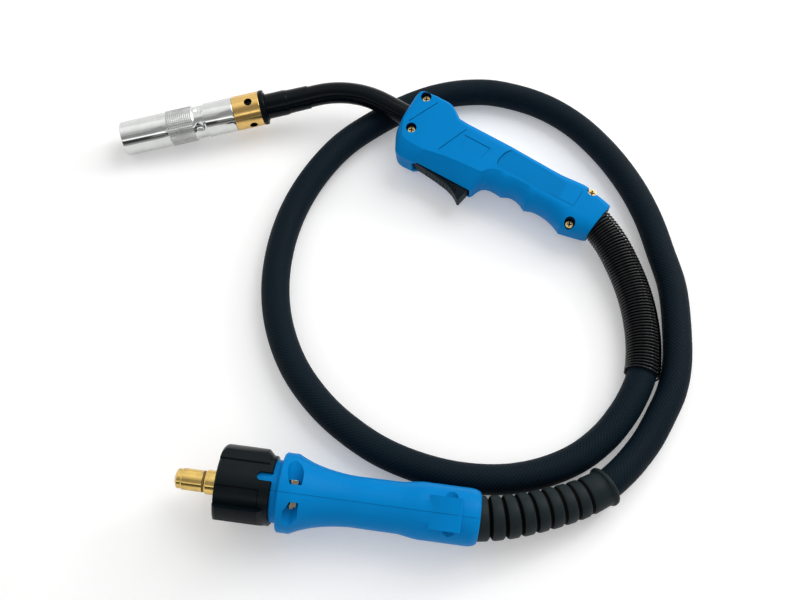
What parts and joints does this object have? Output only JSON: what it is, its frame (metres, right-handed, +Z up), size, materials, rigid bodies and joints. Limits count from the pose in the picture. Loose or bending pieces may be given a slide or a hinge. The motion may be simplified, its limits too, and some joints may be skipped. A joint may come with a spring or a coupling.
{
  "type": "mig welding torch",
  "caption": "Gas-cooled MIG welding torch with a bent neck, trigger handle, power cable in a loop and a central plug with a coupling nut.",
  "frame": {"origin": "on the floor that the torch lies on, in the middle of the box of the torch without its free cable", "axes": "+X from the gas nozzle towards the cable's loop, +Y from the plug towards the gun's neck, +Z up from the floor"},
  "size_m": [0.4159, 0.3659, 0.0502],
  "materials": {
    "nozzle_chrome": "nickel plated copper, bright, softly brushed round",
    "copper": "copper, turned",
    "brass": "brass, turned",
    "dark_insulator": "moulded phenolic, satin",
    "neck_rubber": "heat-proof jacket, satin black",
    "handle_plastic": "moulded nylon, satin blue with a fine stipple on the grip",
    "screw_brass": "yellow-passivated steel screws",
    "trigger_plastic": "moulded nylon, satin black",
    "steel": "turned steel",
    "button_plastic": "red acetal",
    "lead_insulation": "soft insulation",
    "spring_steel": "black coated spring wire, glossy",
    "cable_rubber": "dark slate rubber with a fabric-pressed surface",
    "sleeve_rubber": "moulded rubber, satin black",
    "housing_plastic": "moulded nylon, semi-gloss blue",
    "screw_steel": "zinc-plated steel",
    "nut_plastic": "moulded nylon, satin black",
    "spigot_brass": "brass, polished",
    "seal_rubber": "nitrile rubber"
  },
  "bodies": {
    "torch": {"contact_tip": "copper", "tip_holder": "brass", "nozzle_bush": "dark_insulator", "brass_ring": "brass", "insulating_washer": "dark_insulator", "neck_tube": "copper", "neck_jacket": "neck_rubber", "neck_end_sleeve": "neck_rubber", "handle_top_shell": "handle_plastic", "handle_bottom_shell": "handle_plastic", "handle_screws": "screw_brass", "handle_inserts": "brass", "trigger_pin": "steel", "micro_switch": "dark_insulator", "switch_leads": "lead_insulation", "power_block": "brass", "gas_conduit": "copper", "handle_ferrule": "brass", "strain_spring": "spring_steel", "cable": "cable_rubber", "bend_sleeve": "sleeve_rubber", "plug_housing_left": "housing_plastic", "plug_housing_right": "housing_plastic", "clamp_screws": "screw_steel", "clamp_nuts": "screw_steel", "plug_body": "brass", "plug_spigot": "spigot_brass", "spigot_o_ring": "seal_rubber", "liner_nipple": "steel", "pin_carrier": "dark_insulator", "pin_barrels": "steel", "plug_ferrule": "brass", "control_leads": "lead_insulation"},
    "gas_nozzle": {"gas_nozzle": "nozzle_chrome"},
    "trigger": {"trigger": "trigger_plastic"},
    "switch_button": {"switch_button": "button_plastic"},
    "coupling_nut": {"coupling_nut": "nut_plastic"},
    "control_pin_1": {"control_pin_1": "brass"},
    "control_pin_2": {"control_pin_2": "brass"}
  },
  "joints": [
    {"name": "trigger_press", "type": "hinge", "parent": "torch", "child": "trigger", "pos_m": [0.03266, 0.10823, 0.0207], "axis": [-0.0552, -0.1821, 0.9817], "range_deg": [0, 6], "stiffness_Nm_per_rad": 1.2, "springref_deg": -3.44},
    {"name": "switch_button_travel", "type": "slide", "parent": "torch", "child": "switch_button", "axis": [0.5121, 0.8389, 0.1844], "range_m": [0, 0.0028]},
    {"name": "coupling_nut_turn", "type": "hinge", "parent": "torch", "child": "coupling_nut", "pos_m": [-0.081, -0.1391, 0.02595], "axis": [-0.9914, 0.127, 0.03], "continuous": true},
    {"name": "control_pin_1_travel", "type": "slide", "parent": "torch", "child": "control_pin_1", "axis": [0.9914, -0.127, -0.03], "range_m": [0, 0.0025], "stiffness_N_per_m": 400, "springref_m": -0.002},
    {"name": "control_pin_2_travel", "type": "slide", "parent": "torch", "child": "control_pin_2", "axis": [0.9914, -0.127, -0.03], "range_m": [0, 0.0025], "stiffness_N_per_m": 400, "springref_m": -0.002},
    {"name": "gas_nozzle_pull", "type": "slide", "parent": "torch", "child": "gas_nozzle", "axis": [-0.9747, -0.2037, -0.0926], "range_m": [0, 0.08]}
  ],
  "couplings": [
    {"joint": "switch_button_travel", "follows": "trigger_press", "m_per_rad": 0.026}
  ]
}
